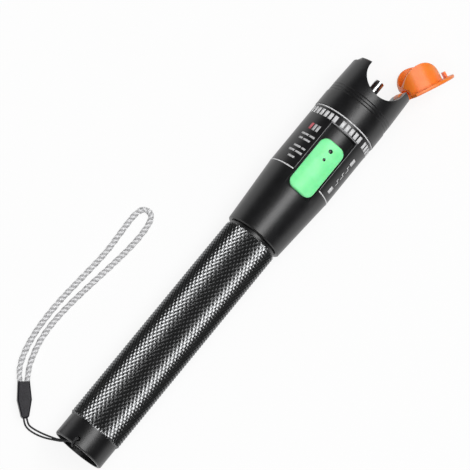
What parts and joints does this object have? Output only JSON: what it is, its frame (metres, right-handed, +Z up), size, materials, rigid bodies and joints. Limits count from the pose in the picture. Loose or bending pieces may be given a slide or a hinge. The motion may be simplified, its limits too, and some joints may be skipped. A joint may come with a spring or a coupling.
{
  "type": "visual fault locator",
  "caption": "Pen-shaped visual fault locator with knurled battery handle, slide switch, fibre port, hinged dust cap and braided wrist strap.",
  "frame": {"origin": "centre of the pen's footprint on the floor it lies on, lanyard left out", "axes": "+X along the pen from the tail to the fibre port, +Z up, the open cap on -Y"},
  "size_m": [0.197, 0.0588, 0.027],
  "materials": {
    "anodised": "satin",
    "nickel": "polished",
    "spring_steel": "satin",
    "cell_jacket": "gloss",
    "black_plastic": "matte",
    "seal_rubber": "matte",
    "brass": "satin",
    "board": "satin",
    "ceramic": "satin",
    "button_green": "satin",
    "cap_orange": "satin",
    "optical_glass": "polished",
    "lace_black": "woven",
    "strap_silver": "braided",
    "clasp_plastic": "satin"
  },
  "bodies": {
    "handle": {"battery_tube": "anodised", "seal_ring": "seal_rubber", "cell_rear": "cell_jacket", "cell_front": "cell_jacket", "tail_spring": "spring_steel", "lanyard_cord": "lace_black", "lanyard_clasp": "clasp_plastic", "wrist_strap": "strap_silver"},
    "head": {"head_housing": "anodised", "contact_carrier": "black_plastic", "front_contact": "brass", "circuit_board": "board", "driver_chip": "black_plastic", "chip_resistors": "ceramic", "slide_switch": "spring_steel", "laser_barrel": "brass", "laser_diode": "nickel", "diode_retainer": "brass", "focusing_lens": "optical_glass", "lens_cell": "brass", "port_tube": "nickel", "barrel_nut": "brass", "hinge_pin": "nickel"},
    "button": {"switch_button": "button_green", "switch_lever": "black_plastic"},
    "cap": {"dust_cap": "cap_orange"}
  },
  "joints": [
    {"name": "head_slide", "type": "slide", "parent": "handle", "child": "head", "axis": [0.9998, 0, 0.0199], "range_m": [0, 0.02]},
    {"name": "button_slide", "type": "slide", "parent": "head", "child": "button", "axis": [0.9998, 0, 0.0199], "range_m": [0, 0.0045]},
    {"name": "cap_hinge", "type": "hinge", "parent": "head", "child": "cap", "pos_m": [0.07686, -0.00592, 0.01274], "axis": [-0.0198, -0.1108, 0.9936], "range_deg": [0, 112.8]}
  ]
}
